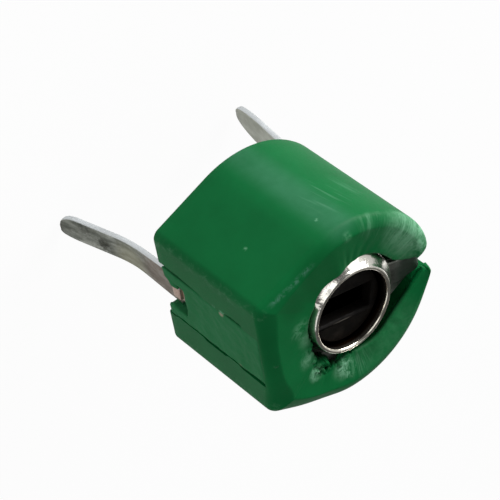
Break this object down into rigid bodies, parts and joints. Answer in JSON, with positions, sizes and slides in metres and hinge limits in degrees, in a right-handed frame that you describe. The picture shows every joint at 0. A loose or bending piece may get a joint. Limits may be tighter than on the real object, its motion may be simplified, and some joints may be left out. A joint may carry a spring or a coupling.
{
  "type": "trimmer capacitor",
  "caption": "Small top-adjusted ceramic disc trimmer capacitor: D-shaped moulded case with a folded-over lip, hollow slotted spindle and splayed flat solder leads.",
  "frame": {"origin": "on the adjusting axis, at the seating face under the case", "axes": "+Z along the adjusting axis, away from the circuit board; the flat side of the case faces -X; the gap in the lip and the rotor terminal are at +X"},
  "size_m": [0.0069, 0.006, 0.0092],
  "materials": {
    "moulded_case": "satin, with drag marks on the folded lip",
    "insulator": "matt, slightly grey",
    "tinned_strip": "tinned, dull grey",
    "fibre": "matt",
    "plated_spindle": "polished nickel plate",
    "dark_metal": "blackened",
    "ceramic": "fired, matt",
    "fired_silver": "fired silver, satin",
    "spring_bronze": "bright spring bronze"
  },
  "bodies": {
    "housing": {"case": "moulded_case", "terminal_block": "insulator", "stator_terminal": "tinned_strip", "rotor_terminal": "tinned_strip", "thrust_washer": "fibre"},
    "rotor": {"spindle": "plated_spindle", "driver_disc": "dark_metal", "rotor_disc": "ceramic", "rotor_electrode": "fired_silver", "contact_spring": "spring_bronze"}
  },
  "joints": [
    {"name": "rotor_turn", "type": "hinge", "parent": "housing", "child": "rotor", "pos_m": [0, 0, 0.0035], "axis": [0, 0, 1], "continuous": true}
  ]
}
